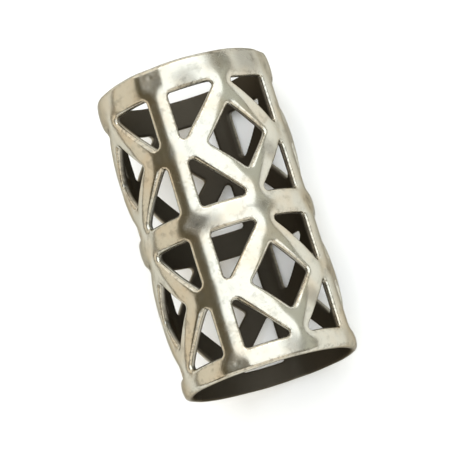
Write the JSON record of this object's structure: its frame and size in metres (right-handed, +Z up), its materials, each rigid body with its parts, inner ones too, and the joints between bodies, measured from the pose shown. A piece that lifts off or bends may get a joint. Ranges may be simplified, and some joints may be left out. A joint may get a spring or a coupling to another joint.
{
  "type": "hair cuff bead",
  "caption": "Short round metal ring with a pierced wall of diamond frames in square cells, slid over a braid, lock or tied hank of hair.",
  "frame": {"origin": "on the surface that the cuff lies on, under the middle of its length and of its width", "axes": "+Y along the ring, from the narrow rim to the wide rim; +Z up; +X to the right of the ring seen from its narrow rim"},
  "size_m": [0.0098, 0.0174, 0.0099],
  "materials": {
    "cuff_metal": "polished warm silver, worn soft on the outside, with a dark film in the windows and on the inside"
  },
  "bodies": {
    "root": {"cuff": "cuff_metal"}
  },
  "joints": []
}
